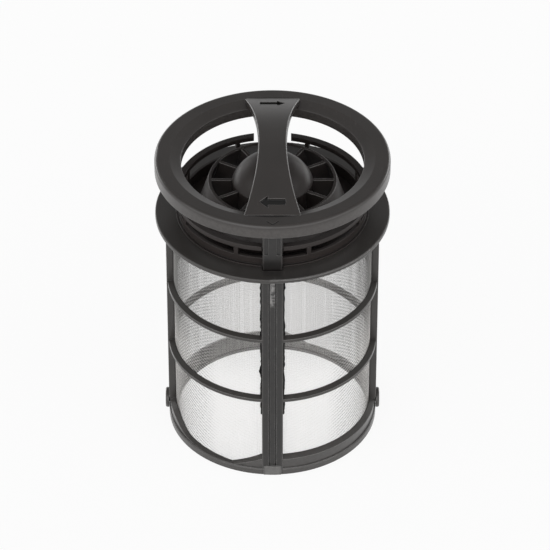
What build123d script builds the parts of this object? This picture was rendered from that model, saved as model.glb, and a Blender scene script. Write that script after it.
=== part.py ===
from build123d import *
from math import asin, cos, degrees, radians, sin, sqrt
import os

os.makedirs("parts", exist_ok=True)

# Cylindrical micro-filter of a dishwasher sump, with its lift-out coarse strainer and handle.
# Sizes are millimetres. The origin is the centre of the lower rim in its floor plane, +Z runs
# up the cylinder's axis, and -Y is the side of the seam rib and of the front tongue.
# Angles are degrees about +Z, counted from -Y towards +X.

# Cylinder frame: flange, ribs, hoops, cam rim, bayonet studs and feet in one moulding
frame_radius = 38.8
rib_depth = 2.1
rib_width = 7.7
side_rib_width = 7.0
side_rib_reach = 0.35
keeper_width = 6.4
keeper_thickness = 0.3
ledge_overhang = 0.1
seam_groove_width = 2.9
seam_groove_depth = 0.55
seam_strip_width = 1.9
seam_strip_height = 0.3
flange_reach = 3.95
flange_top = 93.8
flange_thickness = 1.8
flange_edge_round = 0.45
collar_depth = 1.6
seat_depth = 2.0
seat_width = 2.7
upper_hoop_z = 62.7
lower_hoop_z = 35.0
hoop_root_height = 2.4
hoop_edge_height = 1.2
rim_height = 8.0
rim_top_fall = 1.1
rim_draft = 0.35
dip_floor = 2.4
dip_rise = 1.1
dip_start = 6.5
dip_low_start = 24.0
dip_low_end = 54.0
dip_end = 75.0
dip_floor_fall = 0.5
dip_steps = 4
lip_height = 2.6
lip_reach = 0.25
lip_chamfer = 0.4
foot_width = 6.4
foot_height = 4.0
foot_reach = 0.45
stud_z = 5.3
stud_neck_radius = 1.6
stud_head_radius = 3.8
stud_head_thickness = 1.3
stud_neck_length = 0.3
stud_head_round = 0.6

# Gauze sleeve
gauze_thickness = 0.3
gauze_clearance = 0.1
gauze_ledge_height = 1.2
gauze_seam_gap = 0.8
ridge_height = 0.2
ridge_width = 0.5
gap_width = 0.9
gap_margin = 4.0
gaps_per_window = 10

# Coarse strainer
neck_tongue_gap = 0.7
neck_wall = 1.2
neck_clearance = 0.6
neck_rise = 7.4
neck_lip_reach = 1.2
neck_lip_height = 1.8
neck_window_sill = 3.4
neck_post_width = 1.6
neck_posts = 8
neck_front_notch = 7.7
neck_rear_notch = 13.7
neck_shoulder_reach = 0.9
neck_shoulder_height = 0.5
strainer_floor = 1.2
trough_width = 6.1
cone_step = 3.2
cone_step_round = 0.6
cone_lean = 3.7
cone_rise = 14.4
cone_wall = 1.3
cone_rim_round = 0.4
blade_count = 12
blade_thickness = 1.3
blade_drop = 0.3
blade_lift = 0.6
blade_span = 8.7
hub_wall = 1.4
hub_shoulder_drop = 0.2
hub_dome_rise = 9.8
lug_width = 4.0
lug_height = 1.4
lug_rise = 2.0

# Handle: grip ring, arched bridge and two tongues in one moulding
ring_setback = 0.1
ring_lift = 23.75
ring_height = 5.3
ring_wall = 1.8
ring_edge_round = 1.3
ring_slope_width = 4.05
ring_flat_width = 5.5
ring_slope_drop = 1.7
ring_lip_wall = 1.5
ring_lip_web = 1.1
ring_slope_shelf = 0.4
bore_edge_round = 0.35
bridge_inset = 1.0
bridge_crown = 6.2
bridge_end_rise = 0.15
bridge_waist = 10.3
bridge_end_width = 20.6
bridge_thickness = 2.6
bridge_end_thickness = 1.9
bridge_edge_round = 0.7
tongue_width = 6.9
tongue_inset = 2.2
tongue_thickness = 1.6
tongue_side_clearance = 0.3
tongue_back_clearance = 0.5
tongue_front_clearance = 0.7
tongue_panel_drop = 6.4
tongue_panel_depth = 0.4
tongue_rail = 0.55
tongue_spine_width = 3.1
hook_gap = 0.2
hook_reach = 0.45
hook_height = 1.5
arrow_length = 9.3
arrow_head_length = 3.0
arrow_head_width = 5.2
arrow_shaft_width = 2.6
arrow_place = 30.5
arrow_depth = 0.8
pointer_width = 4.4
pointer_length = 2.2
pointer_stroke = 0.6
pointer_place = 40.9
pointer_depth = 0.3

# Cutting tools run this far past what they cut
cut_margin = 1.0

# Levels and radii that follow from the sizes above, from the frame's wall inwards and upwards
flange_radius = frame_radius + flange_reach
flange_bottom = flange_top - flange_thickness
collar_bottom = flange_bottom - collar_depth
seat_z = flange_top - seat_depth
rib_root_radius = frame_radius - rib_depth
gauze_outer = rib_root_radius - gauze_clearance
gauze_inner = gauze_outer - gauze_thickness
keeper_outer = gauze_inner - gauze_clearance
keeper_inner = keeper_outer - keeper_thickness
tongue_radius = frame_radius - tongue_inset
tongue_inner = tongue_radius - tongue_thickness
neck_radius = tongue_inner - neck_tongue_gap
neck_inner = neck_radius - neck_wall
neck_top = flange_top + neck_rise
bore_radius = neck_radius + neck_clearance
seat_radius = neck_radius - seat_width
floor_top = seat_z + strainer_floor
cone_base_radius = neck_inner - trough_width
cone_rim_radius = cone_base_radius - cone_lean
cone_rim_z = floor_top + cone_rise
hub_radius = cone_rim_radius - blade_span
hub_shoulder_z = cone_rim_z - hub_shoulder_drop
hub_dome_radius = (hub_radius ** 2 + hub_dome_rise ** 2) / (2 * hub_dome_rise)
hub_dome_centre = hub_shoulder_z + hub_dome_rise - hub_dome_radius
ring_radius = flange_radius - ring_setback
ring_slope_radius = ring_radius - ring_flat_width
ring_bore_radius = ring_slope_radius - ring_slope_width
ring_top = flange_top + ring_lift
ring_bottom = ring_top - ring_height
bridge_half_length = ring_slope_radius - bridge_inset


def revolved(corners, rounds=()):
    """A solid turned about the axis from (radius, height) corners; rounds are (corner, radius)."""
    face = make_face(Polyline(*corners, close=True))
    for index, radius in rounds:
        nearest = face.vertices().sort_by_distance(Vector(*corners[index]))[0]
        face = fillet(nearest, radius)
    return revolve(Plane.XZ * face, axis=Axis.Z)


def ring_solid(inner, outer, low, high):
    return revolved([(inner, low), (outer, low), (outer, high), (inner, high)])


def sector(inner, outer, low, high, start, end):
    """A block between two radii, two heights and two angles."""
    face = make_face(Polyline((inner, low), (outer, low), (outer, high), (inner, high), close=True))
    block = revolve(Plane.XZ * face, axis=Axis.Z, revolution_arc=end - start)
    return Rot(0, 0, start - 90) * block


def radial_plane(angle):
    """A plane through the axis that faces outwards at an angle: across is its X, up is its Y."""
    turn = radians(angle)
    return Plane(origin=(0, 0, 0), x_dir=(cos(turn), sin(turn), 0), z_dir=(sin(turn), -cos(turn), 0))


def upright(width, inner, outer, low, high, angle):
    """A parallel-sided bar on the cylinder: its inner and outer faces follow the radii."""
    bar = ring_solid(inner, outer, low, high)
    block = Pos(0, -(outer + cut_margin) / 2, (low + high) / 2) * Box(width, outer + cut_margin, high - low)
    return Rot(0, 0, angle) * (bar & block)


def twice(shape):
    """The frame and the handle repeat every half turn."""
    return shape + Rot(0, 0, 180) * shape


def front_block(width, inner, outer, low, high):
    """A plain box in front of the axis, between two distances from it."""
    centre = Pos(0, -(inner + outer) / 2, (low + high) / 2)
    return centre * Box(width, outer - inner, high - low)


# Cylinder frame

def dip_section(angle, height):
    """One radial section of a scoop: its floor falls outwards, most where it meets the rim's top."""
    near = rib_root_radius - rib_depth
    far = frame_radius + rib_depth
    share = (height - dip_floor) / (rim_height - dip_floor)
    slope = (dip_floor_fall + (rim_top_fall - dip_floor_fall) * share) / rib_depth
    roof = (rim_height + lower_hoop_z) / 2
    turn = radians(angle)
    plane = Plane(origin=(0, 0, 0), x_dir=(sin(turn), -cos(turn), 0), z_dir=(-cos(turn), -sin(turn), 0))
    corners = [(near, height + slope * (rib_root_radius - near)),
               (far, height - slope * (far - rib_root_radius)), (far, roof), (near, roof)]
    return plane * make_face(Polyline(*corners, close=True))


def eased(share, low, high):
    """A height between two others along a curve that is level at both ends."""
    return low + (high - low) * share * share * (3 - 2 * share)


def dip_cutter():
    """The scoop that lowers the rim between two ribs: a straight ramp, a low run and a curved rise."""
    far_floor = dip_floor + dip_rise
    stations = [(dip_start, rim_height), (dip_low_start, dip_floor)]
    for step in range(1, dip_steps + 1):
        share = step / dip_steps
        run = dip_low_start + (dip_low_end - dip_low_start) * share
        stations.append((run, dip_floor + dip_rise * share))
    for step in range(1, 2 * dip_steps + 1):
        share = step / (2 * dip_steps)
        stations.append((dip_low_end + (dip_end - dip_low_end) * share, eased(share, far_floor, rim_height)))
    return loft([dip_section(-angle, height) for angle, height in stations], ruled=True)


def rib_blocks():
    """The four ribs as blocks that pass right through the wall."""
    beyond = frame_radius + cut_margin
    blocks = []
    for quarter, width in enumerate((rib_width, side_rib_width, rib_width, side_rib_width)):
        block = front_block(width, rib_root_radius / 2, beyond, -cut_margin, flange_top)
        blocks.append(Rot(0, 0, 90 * quarter) * block)
    return blocks


def bay_cutter(low_edge, low_fall, high_edge, high_fall):
    """The four openings between two hoops; falls are how far each edge drops per mm outwards."""
    inner = rib_root_radius - cut_margin
    outer = frame_radius + cut_margin
    ring = revolved([(inner, low_edge + low_fall * cut_margin), (outer, low_edge - low_fall * (outer - rib_root_radius)),
                     (outer, high_edge + high_fall * (outer - rib_root_radius)),
                     (inner, high_edge - high_fall * cut_margin)])
    return ring - rib_blocks()


def frame_wall():
    """The ribbed wall: three tiers of openings between the rim, two hoops and the collar."""
    wall = ring_solid(rib_root_radius, frame_radius, 0, flange_bottom)
    root = hoop_root_height / 2
    hoop_fall = (root - hoop_edge_height / 2) / rib_depth
    rim_fall = rim_top_fall / rib_depth
    wall -= bay_cutter(rim_height, rim_fall, lower_hoop_z - root, hoop_fall)
    wall -= bay_cutter(lower_hoop_z + root, hoop_fall, upper_hoop_z - root, hoop_fall)
    wall -= bay_cutter(upper_hoop_z + root, hoop_fall, collar_bottom, 0)
    return wall


def cam_rim(wall):
    """Shape the lower rim of the wall: two scoops, drafted outer faces, a foot lip and a ledge."""
    wall -= twice(dip_cutter())
    outer_top = rim_height - rim_top_fall
    beyond = frame_radius + cut_margin
    draft = revolved([(frame_radius - rim_draft, lip_height), (beyond, lip_height),
                      (beyond, outer_top), (frame_radius, outer_top)])
    wall -= draft - rib_blocks()
    lip_radius = frame_radius + lip_reach
    lip_root = frame_radius - rib_depth / 2
    wall += revolved([(lip_root, 0), (lip_radius, 0), (lip_radius, lip_height - lip_chamfer),
                      (lip_radius - lip_chamfer, lip_height), (lip_root, lip_height)])
    wall += ring_solid(keeper_inner - ledge_overhang, lip_root, 0, gauze_ledge_height)
    return wall


def seam_groove():
    groove_floor = frame_radius - seam_groove_depth
    return upright(seam_groove_width, groove_floor, frame_radius + cut_margin, foot_height, flange_bottom, 0)


def seam_strip():
    groove_floor = frame_radius - seam_groove_depth
    return upright(seam_strip_width, groove_floor - 0.1, groove_floor + seam_strip_height,
                   foot_height - 0.1, flange_bottom + 0.1, 0)


def bayonet_stud():
    """A mushroom-headed stud on the +X rib."""
    root = frame_radius - 1.0
    neck_length = frame_radius + stud_neck_length - root
    neck = extrude(Plane.YZ.offset(root) * Circle(stud_neck_radius), amount=neck_length)
    head = extrude(Plane.YZ.offset(root + neck_length) * Circle(stud_head_radius),
                   amount=stud_head_thickness)
    head = fillet(head.edges().sort_by(Axis.X)[-1], stud_head_round)
    return Pos(0, 0, stud_z) * (neck + head)


def filter_frame():
    frame = revolved([(seat_radius, collar_bottom), (frame_radius, collar_bottom),
                      (frame_radius, flange_bottom), (flange_radius, flange_bottom),
                      (flange_radius, flange_top), (bore_radius, flange_top),
                      (bore_radius, seat_z), (seat_radius, seat_z)],
                     [(3, flange_edge_round), (4, flange_edge_round)])
    slot_width = tongue_width + 2 * tongue_side_clearance
    slot = front_block(slot_width, tongue_inner - tongue_back_clearance,
                       tongue_radius + tongue_front_clearance, flange_bottom, flange_top + cut_margin)
    frame -= twice(slot)
    wall = cam_rim(frame_wall())
    wall -= twice(seam_groove())
    frame += wall
    frame += twice(seam_strip())
    for quarter in range(4):
        keeper = upright(keeper_width, keeper_inner, keeper_outer, gauze_ledge_height / 2,
                         collar_bottom + collar_depth / 2, 90 * quarter)
        frame += keeper
    side_rib = upright(side_rib_width, frame_radius - 1, frame_radius + side_rib_reach, rim_height,
                       flange_bottom, 90)
    frame += twice(side_rib)
    foot = upright(foot_width, frame_radius - 1, frame_radius + foot_reach, 0, foot_height, 0)
    frame += twice(foot)
    frame += twice(bayonet_stud())
    return frame


# Gauze sleeve

def gauze_sleeve():
    """A rolled gauze wall, open at its seam, with ridges and gaps in each window."""
    sleeve = ring_solid(gauze_inner, gauze_outer, gauze_ledge_height, collar_bottom)
    half_rib = degrees(asin(rib_width / 2 / gauze_outer))
    bounds = [rim_height, lower_hoop_z, upper_hoop_z, collar_bottom]
    pitch = (90 - 2 * half_rib) / gaps_per_window
    half_gap = degrees(gap_width / 2 / gauze_outer)
    half_ridge = degrees(ridge_width / 2 / gauze_outer)
    ridges = []
    gaps = []
    for low, high in zip(bounds, bounds[1:]):
        bottom = low + gap_margin
        top = high - gap_margin
        for quarter in range(4):
            first = 90 * quarter + half_rib
            for step in range(gaps_per_window):
                middle = first + pitch * (step + 0.5)
                gaps.append(sector(gauze_inner - cut_margin, gauze_outer + cut_margin, bottom, top,
                                   middle - half_gap, middle + half_gap))
            for step in range(1, gaps_per_window):
                middle = first + pitch * step
                ridges.append(sector(gauze_outer - gauze_thickness / 2, gauze_outer + ridge_height,
                                     bottom, top, middle - half_ridge, middle + half_ridge))
    sleeve += ridges
    sleeve -= gaps
    seam = front_block(gauze_seam_gap, gauze_inner - cut_margin, gauze_outer + cut_margin,
                       -cut_margin, flange_top)
    return sleeve - seam


# Coarse strainer

def neck_windows():
    """The openings round the neck, between its posts, under its lip."""
    pitch = 360 / neck_posts
    half_post = degrees(asin(neck_post_width / 2 / neck_radius))
    low = flange_top + neck_window_sill
    return [sector(neck_inner - cut_margin, neck_radius + cut_margin, low, neck_top,
                   pitch * (bay - 0.5) + half_post, pitch * (bay + 0.5) - half_post)
            for bay in range(neck_posts)]


def dome_point(radius, share):
    """A point on the hub's dome, from its top at share 0 to its shoulder at share 1."""
    reach = asin(hub_radius / hub_dome_radius) * share
    return radius * sin(reach), hub_dome_centre + radius * cos(reach)


def strainer_hub():
    """A domed hub, closed on top and hollow below."""
    low = seat_z + blade_lift
    inner = hub_dome_radius - hub_wall
    skirt = hub_radius - hub_wall
    inner_shoulder = hub_dome_centre + sqrt(inner ** 2 - skirt ** 2)
    outline = [ThreePointArc(dome_point(hub_dome_radius, 0), dome_point(hub_dome_radius, 0.5),
                             (hub_radius, hub_shoulder_z)),
               Polyline((hub_radius, hub_shoulder_z), (hub_radius, low), (skirt, low), (skirt, inner_shoulder)),
               ThreePointArc((skirt, inner_shoulder), dome_point(inner, 0.5), dome_point(inner, 0)),
               Line(dome_point(inner, 0), dome_point(hub_dome_radius, 0))]
    return revolve(Plane.XZ * make_face(Curve() + outline), axis=Axis.Z)


def strainer_blades():
    """Radial blades from the hub to the inside of the cone."""
    low = seat_z + blade_lift
    high = cone_rim_z - blade_drop
    mid_wall = cone_wall / 2
    inside = revolved([(0, low), (cone_base_radius - mid_wall, low),
                       (cone_base_radius - mid_wall, floor_top + cone_step),
                       (cone_rim_radius - mid_wall, high), (0, high)])
    length = cone_base_radius - hub_radius + hub_wall / 2
    centre = hub_radius - hub_wall / 2 + length / 2
    blades = []
    for step in range(blade_count):
        blade = Pos(0, -centre, (low + high) / 2) * Box(blade_thickness, length, high - low)
        blades.append(Rot(0, 0, 360 / blade_count * step) * blade & inside)
    return blades


def coarse_strainer():
    lip_radius = neck_radius + neck_lip_reach
    lip_top = neck_top + neck_lip_height
    step_top = floor_top + cone_step
    strainer = revolved([(neck_radius, seat_z), (neck_radius, neck_top), (lip_radius, neck_top),
                         (lip_radius, lip_top), (neck_inner, lip_top), (neck_inner, floor_top),
                         (cone_base_radius, floor_top), (cone_base_radius, step_top),
                         (cone_rim_radius, cone_rim_z), (cone_rim_radius - cone_wall, cone_rim_z),
                         (cone_base_radius - cone_wall, step_top), (cone_base_radius - cone_wall, seat_z)],
                        [(7, cone_step_round), (8, cone_rim_round), (9, cone_rim_round)])
    for notch_width, turn in ((neck_front_notch, 0), (neck_rear_notch, 180)):
        notch = front_block(notch_width, neck_inner - cut_margin, lip_radius + cut_margin,
                            neck_top, lip_top + cut_margin)
        strainer -= Rot(0, 0, turn) * notch
    strainer -= neck_windows()
    shoulder = ring_solid(neck_inner + neck_wall / 2, neck_radius + neck_shoulder_reach,
                          flange_top, flange_top + neck_shoulder_height)
    shoulder -= twice(front_block(neck_front_notch, neck_radius, lip_radius + cut_margin, seat_z, neck_top))
    strainer += shoulder
    lug_bottom = flange_top + lug_rise
    lug = front_block(lug_width, neck_inner + neck_wall / 2, tongue_inner - hook_gap,
                      lug_bottom, lug_bottom + lug_height)
    strainer += twice(lug)
    strainer += strainer_hub()
    strainer += strainer_blades()
    return strainer


# Handle

def arch_top():
    """The bridge's top line, from end to end in the YZ plane."""
    end_z = ring_top + bridge_end_rise
    return ThreePointArc((-bridge_half_length, end_z), (0, ring_top + bridge_crown),
                         (bridge_half_length, end_z))


def arch_band(middle_depth, end_depth, width):
    """A band under the bridge's top line, extruded across the bridge."""
    end_z = ring_top + bridge_end_rise
    under = ThreePointArc((bridge_half_length, end_z - end_depth),
                          (0, ring_top + bridge_crown - middle_depth),
                          (-bridge_half_length, end_z - end_depth))
    ends = [Line((bridge_half_length, end_z), (bridge_half_length, end_z - end_depth)),
            Line((-bridge_half_length, end_z - end_depth), (-bridge_half_length, end_z))]
    face = make_face(Curve() + [arch_top(), under] + ends)
    return extrude(Plane.YZ * face, amount=width / 2, both=True)


def bridge():
    """An arched bow with a waist, its upper edges rounded."""
    waist = bridge_waist / 2
    end = bridge_end_width / 2
    length = bridge_half_length
    sides = [ThreePointArc((end, -length), (waist, 0), (end, length)),
             ThreePointArc((-end, length), (-waist, 0), (-end, -length)),
             Line((end, length), (-end, length)), Line((-end, -length), (end, -length))]
    plan = extrude(make_face(Curve() + sides), amount=ring_top + 2 * bridge_crown)
    bow = plan & arch_band(bridge_thickness, bridge_end_thickness, bridge_end_width + 2)
    long_edges = bow.edges().filter_by(lambda edge: edge.length > 1.9 * length)
    upper = long_edges.sort_by(lambda edge: edge.center().Z)[-2:]
    return fillet(upper, bridge_edge_round)


def arrow_cutter():
    """An arrow sunk in the bridge near its rear end, pointing towards +X."""
    tail = -arrow_length / 2
    neck = arrow_length / 2 - arrow_head_length
    half_shaft = arrow_shaft_width / 2
    half_head = arrow_head_width / 2
    outline = Polyline((tail, -half_shaft), (neck, -half_shaft), (neck, -half_head),
                       (arrow_length / 2, 0), (neck, half_head), (neck, half_shaft),
                       (tail, half_shaft), close=True)
    prism = extrude(make_face(outline), amount=ring_top + 2 * bridge_crown)
    return Pos(0, arrow_place, 0) * prism & arch_band(arrow_depth, arrow_depth, bridge_end_width)


def pointer_cutter():
    """A shallow V on the ring's flat, in front of the bridge."""
    half = pointer_width / 2
    stroke = pointer_stroke
    outline = Polyline((-half, 0), (0, -pointer_length), (half, 0), (half, stroke),
                       (0, stroke - pointer_length), (-half, stroke), close=True)
    mark = extrude(make_face(outline), amount=2 * pointer_depth)
    return Pos(0, pointer_length / 2 - pointer_place, ring_top - pointer_depth) * mark


def tongue():
    """A latch tongue: a panelled plate down to the flange with a hook under the strainer's lug."""
    plate = front_block(tongue_width, tongue_inner, tongue_radius, flange_bottom, ring_top - ring_wall / 2)
    panel_bottom = flange_top + tongue_panel_drop
    panel_width = (tongue_width - tongue_spine_width) / 2 - tongue_rail
    offset = tongue_spine_width / 2 + panel_width / 2
    for side in (-1, 1):
        panel = front_block(panel_width, tongue_radius - tongue_panel_depth, tongue_radius + cut_margin,
                            panel_bottom, ring_bottom)
        plate -= Pos(side * offset, 0, 0) * panel
    hook_top = flange_top + lug_rise - hook_gap
    hook = front_block(lug_width, tongue_inner - hook_reach, tongue_inner + tongue_thickness / 2,
                       hook_top - hook_height, hook_top)
    return plate + hook


def handle_ring():
    slope_low = ring_top - ring_slope_drop
    ring = revolved([(ring_radius, ring_bottom), (ring_radius, ring_top), (ring_slope_radius, ring_top),
                     (ring_bore_radius, slope_low), (ring_bore_radius, ring_bottom),
                     (ring_bore_radius + ring_lip_wall, ring_bottom),
                     (ring_bore_radius + ring_lip_wall, slope_low - ring_lip_web),
                     (ring_slope_radius + ring_slope_shelf, ring_top - ring_wall),
                     (ring_radius - ring_wall, ring_top - ring_wall),
                     (ring_radius - ring_wall, ring_bottom)],
                    [(1, ring_edge_round), (3, bore_edge_round)])
    handle = ring + bridge()
    handle += twice(tongue())
    handle -= twice(arrow_cutter())
    return handle - pointer_cutter()


parts = {"filter_frame": filter_frame(), "mesh_sleeve": gauze_sleeve(),
         "coarse_strainer": coarse_strainer(), "handle_ring": handle_ring()}
for name, shape in parts.items():
    export_step(shape, f"parts/{name}.step")
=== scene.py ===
import bmesh
import bpy
import math
from mathutils import Matrix, Vector, noise as drift


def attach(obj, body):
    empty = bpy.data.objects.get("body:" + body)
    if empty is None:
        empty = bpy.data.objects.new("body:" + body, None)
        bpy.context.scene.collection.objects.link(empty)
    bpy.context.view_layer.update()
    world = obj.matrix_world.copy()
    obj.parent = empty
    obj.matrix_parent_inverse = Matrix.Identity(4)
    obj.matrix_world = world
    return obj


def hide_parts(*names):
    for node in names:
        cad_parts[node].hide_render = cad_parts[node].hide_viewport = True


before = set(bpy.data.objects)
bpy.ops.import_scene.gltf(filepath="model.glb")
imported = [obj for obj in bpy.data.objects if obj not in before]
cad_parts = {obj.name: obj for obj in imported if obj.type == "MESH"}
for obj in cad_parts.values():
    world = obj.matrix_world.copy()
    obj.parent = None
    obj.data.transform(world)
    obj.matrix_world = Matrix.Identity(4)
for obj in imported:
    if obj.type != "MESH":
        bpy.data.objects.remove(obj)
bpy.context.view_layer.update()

MM = 0.001

# Camera, as solved from the ellipses in the photo
CAMERA_LENS = 237.0
SENSOR_WIDTH = 36.0
CAMERA_SHIFT = 2.5 / 550
CAMERA_TILT = math.radians(37.43)
CAMERA_AIM = Vector((0, 0, 63.48 * MM))
CAMERA_DISTANCE = 1.3379
CAMERA_CLIP = (0.05, 50.0)

# White tent: how high its levels lie, how bright they are in front of the object and behind it, and
# how far to each side of its middle the two run together
TENT_HEIGHTS = (0.10, 0.35, 0.60, 0.85)
TENT_FRONT = (2.1, 2.0, 1.5, 0.5)
TENT_BACK = (0.85, 0.28, 0.34, 0.36)
TENT_SEAM = 0.3
LAMP_POWER = 4
LAMP_AIM = Vector((0, 0, 60 * MM))
FLOOR_LEVEL = -0.05 * MM
FLOOR_HALF = 6.0
FLOOR_COLOUR = (0.86, 0.86, 0.86, 1)
FLOOR_WHITE_SHARE = 0.9

# Woven gauze: its cylinder, its seam and its threads. A bundle is the uprights that are laid at once,
# and a span is one straight length of a weft hoop. Steps of the golden section never line up
GAUZE_RADIUS = 36.45 * MM
GAUZE_FOOT = 1.25 * MM
GAUZE_TOP = 90.35 * MM
SEAM_GAP = 0.8 * MM
UPRIGHT_PITCH = 0.26 * MM
UPRIGHT_RADIUS = 0.025 * MM
UPRIGHT_BUNDLE = 7
WEFT_PITCH = 0.32 * MM
WEFT_RADIUS = 0.031 * MM
WEFT_SPANS = 80
GOLDEN_SECTION = 0.618
THREAD_SWING = 0.5

# Films of flash beside the front rib; the waves of their edge are (share of a millimetre, length)
FLASH_INSIDE = 3.4 * MM
FLASH_OUTSIDE = 4.9 * MM
FLASH_FOOT = 27.0 * MM
FLASH_TOP = 89.0 * MM
FLASH_RADIUS = 36.66 * MM
FLASH_THICKNESS = 0.14 * MM
FLASH_STEPS = 70
FLASH_WAVES = ((0.5, 5 * MM), (0.35, 1.6 * MM))
FLASH_SHORTFALL = 0.45

# The arch of the bridge's top, where its two sunk arrows lie, and how deep their floors can be
ARCH_RADIUS = 110.8 * MM
ARCH_CENTRE = 12.95 * MM
ARROW_PLACE = 30.5 * MM
ARROW_HALF_WIDTH = 2.9 * MM
ARROW_HALF_LENGTH = 5.0 * MM
ARROW_SHALLOWEST = 0.4 * MM
ARROW_DEEPEST = 1.2 * MM

# Corners and creases: cosine at a corner and on a flat, and how open a place is from closed in to free
CORNER_RADIUS = 0.35 * MM
CORNER_COSINES = (0.80, 0.985)
CREASE_REACH = 0.8 * MM
WEAR_AND_HIGHLIGHT_OPENNESS = (0.70, 0.95)
SHADE_OPENNESS = (0.45, 0.92)
SHADE_DEEPEST = 0.25

# Scales of the noise, in features per metre
FLOW_CLOUDS = 55
ROUGHNESS_PATCHES = 420
SPARK_TEXTURE = 2400
SCRATCH_LINES = 1500
SCRATCH_BREAKS = 90
WEAR_AND_HIGHLIGHT_PATCHES = 260
MARK_GRAIN = 900
MOIRE_WANDER = 60

# Surface of the plastics; a cut is the range of the noise in which a mask fades in
ROUGHNESS_SWING = 0.04
TONE_CUT = (0.3, 0.7)
TONE_RANGE = (0.90, 1.10)
SCRATCH_TURNS = ((0.2, 0.1, 0.5), (0.2, 0.1, 2.1))
SCRATCH_CUT = (0.66, 0.72)
SCRATCH_BREAK_CUT = (0.5, 0.62)
SCRATCH_SHRINK = 0.05
SCRATCH_SHARE = 0.35
SCRATCH_BRIGHTENING = 2.0
TEXTURE_STRENGTH = 0.03
TEXTURE_DEPTH = 0.03 * MM
MARK_CUT = (0.35, 0.6)
MARK_EDGE = (0.75, 1.05)
WEAR_AND_HIGHLIGHT_CUT = (0.35, 0.65)
WEAR_AND_HIGHLIGHT_RANGE = (0.5, 1.0)
WEAR_AND_HIGHLIGHT_FADE = 1.0
# Pale colour of worn edges, which also paints the highlights on the rounded edges
WEAR_AND_HIGHLIGHT_COLOUR = (0.40, 0.39, 0.38, 1)
# Near-black painted shade on the floors of the sunk arrows
ARROW_SHADE_COLOUR = (0.005, 0.0048, 0.0045, 1)

# Gauze thread: its painted dark moiré lines beside the side bars, and the painted shade up under the flange,
# more to the sides
THREAD_COLOUR = (0.86, 0.84, 0.815, 1)
# Colour of the painted dark moiré lines of the weave
MOIRE_COLOUR = (0.10, 0.095, 0.09, 1)
GAUZE_SHADE_COLOUR = (0.15, 0.147, 0.142, 1)
MOIRE_PITCH = 1.53 * MM
MOIRE_SLOPE = 0.4
MOIRE_DRIFT = 2.5
MOIRE_ZONE = (0.52 * GAUZE_RADIUS, 0.72 * GAUZE_RADIUS)
MOIRE_SHARES = (0.10, 0.95)
GAUZE_SHADE_HEIGHTS = (35 * MM, 60 * MM)
GAUZE_SHADE_ZONE = (0.1 * GAUZE_RADIUS, 0.6 * GAUZE_RADIUS)
GAUZE_SHADE_SHARES = (0.5, 0.82)
THREAD_ROUGHNESS = 0.4

# Where the wear and painted highlight of edges changes its share, as a radius in mm: at the ribs' faces and
# the cone's rim
RIB_FACES = 37.7
CONE_RIM = 29.0

# Marks of use and moulding, and painted light and shade: middle and half size in mm, colour, least and most
# share
SEAM_WHITENING = ((0, -38.8, 84.5), (0.95, 1.5, 6.2), (0.45, 0.44, 0.43, 1), 0.0, 0.42)
# The front foot painted lighter
LIGHTER_FOOT = ((0, -39.4, 1.8), (3.4, 1.2, 2.6), (0.11, 0.107, 0.104, 1), 0.75, 1.0)
# The front rib painted darker
DARKER_FRONT_RIB = ((0, -39.0, 45.0), (3.9, 1.6, 55.0), (0.010, 0.0092, 0.0086, 1), 0.75, 1.0)
# Painted light on the frame's bottom rim, lighter all round
LIT_BOTTOM_RIM = ((0, 0, 2.0), (60.0, 60.0, 7.0), (0.055, 0.052, 0.050, 1), 0.4, 0.8)
# Painted light on the handle ring's outer wall, lighter all round
LIT_RING_WALL = ((0, 0, 112.0), (60.0, 60.0, 4.2), (0.055, 0.0505, 0.048, 1), 0.35, 0.8)
# Painted shade on the tongue's sunk panel under the ring
SHADED_TONGUE = ((0, -36.6, 101.5), (3.7, 2.2, 10.5), (0.009, 0.0082, 0.0078, 1), 0.8, 1.0)


# Camera and lamps

def place_camera():
    """The photo's camera: straight in front, looking down, without a roll."""
    data = bpy.data.cameras.new("camera")
    data.lens = CAMERA_LENS
    data.sensor_width = SENSOR_WIDTH
    data.shift_x = CAMERA_SHIFT
    data.clip_start, data.clip_end = CAMERA_CLIP
    camera = bpy.data.objects.new("camera", data)
    bpy.context.scene.collection.objects.link(camera)
    towards_camera = Vector((0, -math.cos(CAMERA_TILT), math.sin(CAMERA_TILT)))
    camera.location = CAMERA_AIM + CAMERA_DISTANCE * towards_camera
    camera.rotation_euler = (math.radians(90) - CAMERA_TILT, 0, 0)
    bpy.context.scene.camera = camera


def lamp(name, place, size):
    """A soft box that looks at the object's middle."""
    data = bpy.data.lights.new(name, "AREA")
    data.shape = "RECTANGLE"
    data.size, data.size_y = size
    data.energy = LAMP_POWER
    obj = bpy.data.objects.new(name, data)
    obj.location = place
    facing = LAMP_AIM - obj.location
    obj.rotation_euler = facing.to_track_quat("-Z", "Y").to_euler()
    bpy.context.scene.collection.objects.link(obj)


# Nodes

def fill(tree, socket, value):
    """Link a socket to an input, or set the input to a plain value."""
    if isinstance(value, bpy.types.NodeSocket):
        tree.links.new(value, socket)
    else:
        socket.default_value = value


def node_in(tree, kind, settings=(), **values):
    """A node with its settings and its named inputs filled in; _ stands for a space."""
    node = tree.nodes.new(kind)
    for key, value in dict(settings).items():
        setattr(node, key, value)
    for label, value in values.items():
        fill(tree, node.inputs[label.replace("_", " ")], value)
    return node


def math_of(tree, operation, *values):
    """The result of a sum on numbers."""
    node = node_in(tree, "ShaderNodeMath", {"operation": operation})
    for socket, value in zip(node.inputs, values):
        fill(tree, socket, value)
    return node.outputs[0]


def vector_math(tree, operation, *values, **named):
    """The outputs of a sum on directions: Vector and Value."""
    node = node_in(tree, "ShaderNodeVectorMath", {"operation": operation}, **named)
    for socket, value in zip(node.inputs, values):
        fill(tree, socket, value)
    return node.outputs


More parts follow.
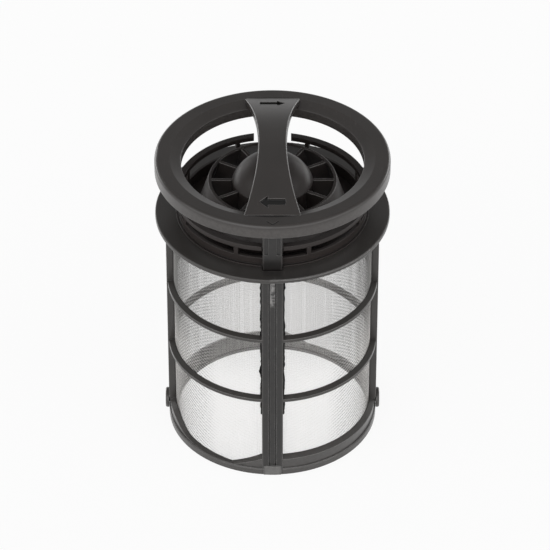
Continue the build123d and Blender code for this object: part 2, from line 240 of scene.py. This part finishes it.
def spread(tree, value, low, high, out_low, out_high, eased=False):
    """Map a value from one range to another, held at its ends."""
    kind = "SMOOTHSTEP" if eased else "LINEAR"
    return node_in(tree, "ShaderNodeMapRange", {"interpolation_type": kind}, Value=value, From_Min=low,
                   From_Max=high, To_Min=out_low, To_Max=out_high).outputs["Result"]


def blend_colours(tree, share, under, over):
    """Paint one colour over another by a share from 0 to 1."""
    node = node_in(tree, "ShaderNodeMix", {"data_type": "RGBA"})
    fill(tree, node.inputs[0], share)
    fill(tree, node.inputs[6], under)
    fill(tree, node.inputs[7], over)
    return node.outputs[2]


def object_place(tree):
    """The place on the object, in metres."""
    return tree.nodes.new("ShaderNodeTexCoord").outputs["Object"]


def noise(tree, scale, detail, place=None):
    """Soft noise from 0 to 1, at the place on the object or one of its own."""
    place = place or object_place(tree)
    return node_in(tree, "ShaderNodeTexNoise", Vector=place, Scale=scale, Detail=detail).outputs["Fac"]


# Floor and light

def studio_floor():
    """White paper: plain white to the camera and in mirrored rays, matt where it takes the shadow."""
    sheet = bmesh.new()
    bmesh.ops.create_grid(sheet, x_segments=1, y_segments=1, size=FLOOR_HALF)
    mesh = bpy.data.meshes.new("floor")
    sheet.to_mesh(mesh)
    sheet.free()
    floor = bpy.data.objects.new("floor", mesh)
    floor.location.z = FLOOR_LEVEL
    bpy.context.scene.collection.objects.link(floor)
    paper = bpy.data.materials.new("floor_white")
    paper.use_nodes = True
    tree = paper.node_tree
    tree.nodes.clear()
    matt = node_in(tree, "ShaderNodeBsdfDiffuse", Color=FLOOR_COLOUR).outputs[0]
    white = node_in(tree, "ShaderNodeEmission", Strength=1.0).outputs[0]
    path = tree.nodes.new("ShaderNodeLightPath").outputs
    mirrored = math_of(tree, "MAXIMUM", path["Is Glossy Ray"], path["Is Transmission Ray"])
    straight = math_of(tree, "MULTIPLY", path["Is Camera Ray"], FLOOR_WHITE_SHARE)
    share = math_of(tree, "MAXIMUM", mirrored, straight)
    mix = tree.nodes.new("ShaderNodeMixShader")
    for socket, value in zip(mix.inputs, (share, matt, white)):
        fill(tree, socket, value)
    node_in(tree, "ShaderNodeOutputMaterial", Surface=mix.outputs[0])
    mesh.materials.append(paper)


def elevation_ramp(tree, height, levels):
    """Brightness by height above the horizon, from level to overhead."""
    ramp = node_in(tree, "ShaderNodeValToRGB", Fac=height)
    stops = ramp.color_ramp.elements
    while len(stops) < len(levels):
        stops.new(0.5)
    for stop, place, level in zip(stops, TENT_HEIGHTS, levels):
        stop.position = place
        stop.color = (level, level, level, 1)
    return ramp.outputs["Color"]


def studio_light():
    """A white tent, brightest in front, with a broad lamp by the camera and two that light the rims."""
    world = bpy.data.worlds.new("studio")
    bpy.context.scene.world = world
    world.use_nodes = True
    tree = world.node_tree
    direction = tree.nodes.new("ShaderNodeTexCoord").outputs["Generated"]
    part = node_in(tree, "ShaderNodeSeparateXYZ", Vector=direction).outputs
    front = elevation_ramp(tree, part["Z"], TENT_FRONT)
    back = elevation_ramp(tree, part["Z"], TENT_BACK)
    share = spread(tree, part["Y"], -TENT_SEAM, TENT_SEAM, 0.0, 1.0, eased=True)
    fill(tree, tree.nodes["Background"].inputs["Color"], blend_colours(tree, share, front, back))
    lamp("front_lamp", place=(-0.7, -1.5, 1.3), size=(1.2, 0.9))
    for side in (-1, 1):
        lamp("rim_lamp", place=(1.0 * side, 1.0, 0.22), size=(0.8, 0.45))


# Materials

def group_of(name, inputs, outputs, directions=()):
    """A node group with named number inputs and outputs: the group, what it is given, what it gives."""
    group = bpy.data.node_groups.new(name, "ShaderNodeTree")
    for label, value in inputs:
        socket = group.interface.new_socket(name=label, in_out="INPUT", socket_type="NodeSocketFloat")
        socket.default_value = value
    for label in outputs:
        group.interface.new_socket(name=label, in_out="OUTPUT", socket_type="NodeSocketFloat")
    for label in directions:
        group.interface.new_socket(name=label, in_out="OUTPUT", socket_type="NodeSocketVector")
    return group, group.nodes.new("NodeGroupInput").outputs, group.nodes.new("NodeGroupOutput").inputs


def use_group(tree, group, **values):
    """A group's outputs, with its inputs as given or at their defaults."""
    return node_in(tree, "ShaderNodeGroup", {"node_tree": group}, **values).outputs


def moulded_group():
    """Flow clouds, spark texture and uneven gloss of an injection-moulded polypropylene."""
    inputs = [("Roughness", 0.3), ("Unevenness", ROUGHNESS_SWING)]
    group, given, out = group_of("moulded_surface", inputs, ["Tone", "Roughness", "Height"])
    swing = math_of(group, "MULTIPLY_ADD", noise(group, ROUGHNESS_PATCHES, 4), 2.0, -1.0)
    fill(group, out["Tone"], spread(group, noise(group, FLOW_CLOUDS, 3), *TONE_CUT, *TONE_RANGE))
    roughness = math_of(group, "MULTIPLY_ADD", swing, given["Unevenness"], given["Roughness"])
    fill(group, out["Roughness"], roughness)
    fill(group, out["Height"], noise(group, SPARK_TEXTURE, 2))
    return group


def scratch_group():
    """Hair-fine scratches from handling, long in two directions and broken along them."""
    inputs = [("Shrink", SCRATCH_SHRINK), ("Amount", SCRATCH_SHARE)]
    group, given, out = group_of("handling_scratches", inputs, ["Mask"])
    stretch = node_in(group, "ShaderNodeCombineXYZ", X=1.0, Y=given["Shrink"], Z=1.0).outputs[0]
    lines = []
    for turn in SCRATCH_TURNS:
        along = node_in(group, "ShaderNodeMapping", Vector=object_place(group), Rotation=turn,
                        Scale=stretch).outputs[0]
        lines.append(spread(group, noise(group, SCRATCH_LINES, 1, along), *SCRATCH_CUT, 0.0, 1.0))
    broken = spread(group, noise(group, SCRATCH_BREAKS, 2), *SCRATCH_BREAK_CUT, 0.0, 1.0)
    kept = math_of(group, "MULTIPLY", math_of(group, "MAXIMUM", *lines), broken)
    fill(group, out["Mask"], math_of(group, "MULTIPLY", kept, given["Amount"]))
    return group


def spot_group():
    """A soft-edged box at a place on the object, for a mark that belongs to one spot."""
    sizes = [(label + axis, value) for label, value in (("Middle ", 0.0), ("Half ", MM)) for axis in "XYZ"]
    group, given, out = group_of("spot_mark", sizes, ["Mask"])
    axes = node_in(group, "ShaderNodeSeparateXYZ", Vector=object_place(group)).outputs
    mask = 1.0
    for axis in "XYZ":
        off = math_of(group, "ABSOLUTE", math_of(group, "SUBTRACT", axes[axis], given["Middle " + axis]))
        share = math_of(group, "DIVIDE", off, given["Half " + axis])
        mask = math_of(group, "MULTIPLY", mask, spread(group, share, *MARK_EDGE, 1.0, 0.0))
    fill(group, out["Mask"], mask)
    return group


def arrow_shade_group():
    """The floors of the two sunk arrows, painted dark as shade: below the arch of the bridge's top, near its
    ends.
    """
    inputs = [("Shallowest", ARROW_SHALLOWEST), ("Deepest", ARROW_DEEPEST)]
    group, given, out = group_of("arrow_floor_shade", inputs, ["Mask"])
    axes = node_in(group, "ShaderNodeSeparateXYZ", Vector=object_place(group)).outputs
    lift = math_of(group, "SUBTRACT", axes["Z"], ARCH_CENTRE)
    reach = node_in(group, "ShaderNodeCombineXYZ", Y=axes["Y"], Z=lift).outputs[0]
    depth = math_of(group, "SUBTRACT", ARCH_RADIUS, vector_math(group, "LENGTH", reach)["Value"])
    along = math_of(group, "SUBTRACT", math_of(group, "ABSOLUTE", axes["Y"]), ARROW_PLACE)
    limits = (
        math_of(group, "GREATER_THAN", depth, given["Shallowest"]),
        math_of(group, "LESS_THAN", depth, given["Deepest"]),
        math_of(group, "LESS_THAN", math_of(group, "ABSOLUTE", along), ARROW_HALF_WIDTH),
        math_of(group, "LESS_THAN", math_of(group, "ABSOLUTE", axes["X"]), ARROW_HALF_LENGTH),
    )
    mask = 1.0
    for limit in limits:
        mask = math_of(group, "MULTIPLY", mask, limit)
    fill(group, out["Mask"], mask)
    return group


def edge_group():
    """The moulding's rounded corners, a mask of its outer edges for wear and painted highlight, and the
    painted shade in its creases.
    """
    inputs = [("Radius", CORNER_RADIUS), ("Reach", CREASE_REACH)]
    group, given, out = group_of("moulded_edges", inputs, ["Mask", "Shade"], ["Normal"])
    rounded = node_in(group, "ShaderNodeBevel", {"samples": 6}, Radius=given["Radius"]).outputs["Normal"]
    plain = group.nodes.new("ShaderNodeNewGeometry").outputs["True Normal"]
    cosine = vector_math(group, "DOT_PRODUCT", rounded, plain)["Value"]
    turned = spread(group, cosine, *CORNER_COSINES, 1.0, 0.0)
    occlusion = node_in(group, "ShaderNodeAmbientOcclusion", {"samples": 6, "only_local": True},
                        Distance=given["Reach"])
    openness = occlusion.outputs["AO"]
    free = spread(group, openness, *WEAR_AND_HIGHLIGHT_OPENNESS, 0.0, 1.0)
    fill(group, out["Mask"], math_of(group, "MULTIPLY", turned, free))
    fill(group, out["Shade"], spread(group, openness, *SHADE_OPENNESS, SHADE_DEEPEST, 1.0))
    fill(group, out["Normal"], rounded)
    return group


def plastic(name, colour, roughness, edge_wear_and_highlight, shine=0.5, marks=(), sunk=None):
    """Moulded plastic: edge_wear_and_highlight is its share of worn, painted-highlight edges inside a radius
    and outside it, and that radius in mm.

    Shine is the shader's specular level. Marks, among them painted light and shade, are painted over the
    colour, and the wear with its painted edge highlight over the marks.
    Sunk is a group that masks floors painted dark as shade.
    """
    mat = bpy.data.materials.new(name)
    mat.use_nodes = True
    tree = mat.node_tree
    shader = tree.nodes["Principled BSDF"]
    shader.inputs["Specular IOR Level"].default_value = shine
    surface = use_group(tree, moulded, Roughness=roughness)
    scratch = use_group(tree, scratches)["Mask"]
    edges = use_group(tree, moulded_edges)
    tone = math_of(tree, "MULTIPLY", surface["Tone"], edges["Shade"])
    toned = vector_math(tree, "SCALE", colour, Scale=tone)["Vector"]
    pale = tuple(SCRATCH_BRIGHTENING * part for part in colour) + (1,)
    paint = blend_colours(tree, scratch, toned, pale)
    for middle, half, shade, least, most in marks:
        box = {label + axis: value * MM for label, values in (("Middle_", middle), ("Half_", half))
               for axis, value in zip("XYZ", values)}
        mask = use_group(tree, spots, **box)["Mask"]
        grain = spread(tree, noise(tree, MARK_GRAIN, 3), *MARK_CUT, least, most)
        paint = blend_colours(tree, math_of(tree, "MULTIPLY", mask, grain), paint, shade)
    across = vector_math(tree, "MULTIPLY", object_place(tree), (1, 1, 0))["Vector"]
    reach = vector_math(tree, "LENGTH", across)["Value"]
    inside, outside, boundary = edge_wear_and_highlight
    edge_share = spread(tree, reach, (boundary - WEAR_AND_HIGHLIGHT_FADE) * MM, (boundary + WEAR_AND_HIGHLIGHT_FADE) * MM, inside, outside,
                     eased=True)
    patches = spread(tree, noise(tree, WEAR_AND_HIGHLIGHT_PATCHES, 3), *WEAR_AND_HIGHLIGHT_CUT, *WEAR_AND_HIGHLIGHT_RANGE)
    wear_and_highlight = math_of(tree, "MULTIPLY", math_of(tree, "MULTIPLY", edges["Mask"], patches), edge_share)
    # Worn edges, lightened also as a painted highlight on the rounded corners
    paint = blend_colours(tree, wear_and_highlight, paint, WEAR_AND_HIGHLIGHT_COLOUR)
    if sunk:
        # The sunk arrows' floors painted dark as shade
        paint = blend_colours(tree, use_group(tree, sunk)["Mask"], paint, ARROW_SHADE_COLOUR)
    fill(tree, shader.inputs["Base Color"], paint)
    fill(tree, shader.inputs["Roughness"], surface["Roughness"])
    dents = node_in(tree, "ShaderNodeBump", Strength=TEXTURE_STRENGTH, Distance=TEXTURE_DEPTH,
                    Height=surface["Height"], Normal=edges["Normal"])
    fill(tree, shader.inputs["Normal"], dents.outputs["Normal"])
    return mat


def gauze_material():
    """Filter thread: painted dark moiré lines by the side bars, and painted shade up under the flange, more to
    the sides.
    """
    mat = bpy.data.materials.new("gauze_thread")
    mat.use_nodes = True
    tree = mat.node_tree
    shader = tree.nodes["Principled BSDF"]
    axes = node_in(tree, "ShaderNodeSeparateXYZ", Vector=object_place(tree)).outputs
    depth = math_of(tree, "ABSOLUTE", axes["Y"])
    width = math_of(tree, "ABSOLUTE", axes["X"])
    angle = math_of(tree, "ARCTAN2", width, depth)
    run = math_of(tree, "MULTIPLY_ADD", angle, -MOIRE_SLOPE * GAUZE_RADIUS, axes["Z"])
    wander = math_of(tree, "MULTIPLY", noise(tree, MOIRE_WANDER, 2), MOIRE_DRIFT)
    phase = math_of(tree, "MULTIPLY_ADD", run, 2 * math.pi / MOIRE_PITCH, wander)
    line = spread(tree, math_of(tree, "SINE", phase), -0.5, 0.5, 0.0, 1.0)
    beside = spread(tree, width, *MOIRE_ZONE, *MOIRE_SHARES, eased=True)
    # Painted dark moiré lines of the weave beside the side bars
    paint = blend_colours(tree, math_of(tree, "MULTIPLY", line, beside), THREAD_COLOUR, MOIRE_COLOUR)
    # Painted shade up under the flange, more to the sides
    upwards = spread(tree, axes["Z"], *GAUZE_SHADE_HEIGHTS, 0.0, 1.0, eased=True)
    sidewards = spread(tree, width, *GAUZE_SHADE_ZONE, *GAUZE_SHADE_SHARES, eased=True)
    paint = blend_colours(tree, math_of(tree, "MULTIPLY", upwards, sidewards), paint, GAUZE_SHADE_COLOUR)
    fill(tree, shader.inputs["Base Color"], paint)
    shader.inputs["Roughness"].default_value = THREAD_ROUGHNESS
    return mat


# Pieces

def finish_piece(name, shape, material, body, smooth=True):
    """Turn a bmesh into a piece at the origin, that rides its body."""
    mesh = bpy.data.meshes.new(name)
    shape.to_mesh(mesh)
    shape.free()
    mesh.materials.append(material)
    if smooth:
        mesh.shade_smooth()
    obj = bpy.data.objects.new(name, mesh)
    bpy.context.scene.collection.objects.link(obj)
    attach(obj, body)
    return obj


def thread_end(shape, centre, facing, radius):
    """A four-sided thread's end face at a place, square to a direction."""
    turn = Vector(facing).to_track_quat("Z", "Y").to_matrix().to_4x4()
    place = Matrix.Translation(centre) @ turn
    bmesh.ops.create_circle(shape, cap_ends=True, segments=4, radius=radius, matrix=place)


def only_verts(geometry):
    """The corners among what an operator gave back."""
    return [item for item in geometry if isinstance(item, bmesh.types.BMVert)]


def uneven(step):
    """How far a thread lies off its even place, as a share of the pitch."""
    return THREAD_SWING * ((step * GOLDEN_SECTION) % 1 - 0.5) if step else 0.0


def flash_strips(material):
    """Wavy films of plastic that crept from the front bar over the gauze in the mould."""
    shape = bmesh.new()
    wide = Matrix.Diagonal((0.5 * (FLASH_OUTSIDE - FLASH_INSIDE), 0.5 * (FLASH_TOP - FLASH_FOOT), 1, 1))
    for side in (-1, 1):
        sheet = bmesh.ops.create_grid(shape, x_segments=1, y_segments=FLASH_STEPS, size=1.0, matrix=wide)
        for vert in sheet["verts"]:
            along = 0.5 * (FLASH_FOOT + FLASH_TOP) + vert.co.y
            creep = sum(share * drift.noise((0, along / wave, side)) for share, wave in FLASH_WAVES)
            across = FLASH_OUTSIDE + (creep - FLASH_SHORTFALL) * MM if vert.co.x > 0 else FLASH_INSIDE
            vert.co = (side * across, -math.sqrt(FLASH_RADIUS ** 2 - across ** 2), along)
    grown = bmesh.ops.extrude_face_region(shape, geom=shape.faces[:])["geom"]
    bmesh.ops.translate(shape, verts=only_verts(grown), vec=(0, -FLASH_THICKNESS, 0))
    bmesh.ops.recalc_face_normals(shape, faces=shape.faces)
    finish_piece("front_flash", shape, material, "cylinder", smooth=False)


def woven_gauze(material):
    """Warp threads standing outside, weft hoops lying inside, both stopping at the seam."""
    shape = bmesh.new()
    around = {"axis": (0, 0, 1), "cent": (0, 0, 0), "angle": 2 * math.pi - SEAM_GAP / GAUZE_RADIUS}
    first = Matrix.Rotation(SEAM_GAP / GAUZE_RADIUS / 2, 3, "Z")

    # One bundle of uprights, copied round to the seam
    bundle = UPRIGHT_BUNDLE * UPRIGHT_PITCH / GAUZE_RADIUS
    for step in range(UPRIGHT_BUNDLE):
        turn = Matrix.Rotation((step + uneven(step)) * UPRIGHT_PITCH / GAUZE_RADIUS, 3, "Z") @ first
        foot = turn @ Vector((0, -GAUZE_RADIUS - UPRIGHT_RADIUS, GAUZE_FOOT))
        thread_end(shape, foot, (0, 0, -1), UPRIGHT_RADIUS)
    grown = bmesh.ops.extrude_face_region(shape, geom=shape.faces[:])["geom"]
    bmesh.ops.translate(shape, verts=only_verts(grown), vec=(0, 0, GAUZE_TOP - GAUZE_FOOT))
    lap = around["angle"] - bundle
    bmesh.ops.spin(shape, geom=shape.verts[:] + shape.edges[:] + shape.faces[:], use_duplicate=True,
                   **dict(around, angle=lap, steps=round(lap / bundle)))

    # One hoop of weft, copied up to the top
    warp = set(shape.faces)
    start = first @ Vector((0, -GAUZE_RADIUS + WEFT_RADIUS, GAUZE_FOOT + WEFT_PITCH / 2))
    thread_end(shape, start, first @ Vector((-1, 0, 0)), WEFT_RADIUS)
    end = [face for face in shape.faces if face not in warp]
    bmesh.ops.spin(shape, geom=end, steps=WEFT_SPANS, **around)
    hoop = [face for face in shape.faces if face not in warp]
    for step in range(1, int((GAUZE_TOP - GAUZE_FOOT) / WEFT_PITCH)):
        copy = bmesh.ops.duplicate(shape, geom=hoop)["geom"]
        bmesh.ops.translate(shape, verts=only_verts(copy), vec=(0, 0, (step + uneven(step)) * WEFT_PITCH))
    bmesh.ops.recalc_face_normals(shape, faces=shape.faces)
    gauze = finish_piece("woven_gauze", shape, material, "cylinder")
    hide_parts("mesh_sleeve")


def dress(node, material):
    """Give a CAD piece its material."""
    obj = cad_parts[node]
    obj.data.materials.clear()
    obj.data.materials.append(material)


bpy.context.scene.view_settings.view_transform = "Standard"
place_camera()
studio_floor()
studio_light()
moulded = moulded_group()
scratches = scratch_group()
spots = spot_group()
moulded_edges = edge_group()
frame_plastic = plastic("frame_plastic", (0.034, 0.0312, 0.0292), roughness=0.32,
                        edge_wear_and_highlight=(0.0, 0.6, RIB_FACES),
                        marks=[LIT_BOTTOM_RIM, DARKER_FRONT_RIB, SEAM_WHITENING, LIGHTER_FOOT])
strainer_plastic = plastic("strainer_plastic", (0.021, 0.0168, 0.0155), roughness=0.40,
                           edge_wear_and_highlight=(0.9, 0.08, CONE_RIM), shine=0.3)
handle_plastic = plastic("handle_plastic", (0.029, 0.0255, 0.0238), roughness=0.30,
                         edge_wear_and_highlight=(0.4, 0.2, RIB_FACES), marks=[LIT_RING_WALL, SHADED_TONGUE], sunk=arrow_shade_group())
flash_plastic = plastic("flash_plastic", (0.005, 0.0047, 0.0045), roughness=0.5,
                        edge_wear_and_highlight=(0.0, 0.0, RIB_FACES), shine=0.1)
dress("filter_frame", frame_plastic)
dress("coarse_strainer", strainer_plastic)
dress("handle_ring", handle_plastic)
flash_strips(flash_plastic)
woven_gauze(gauze_material())
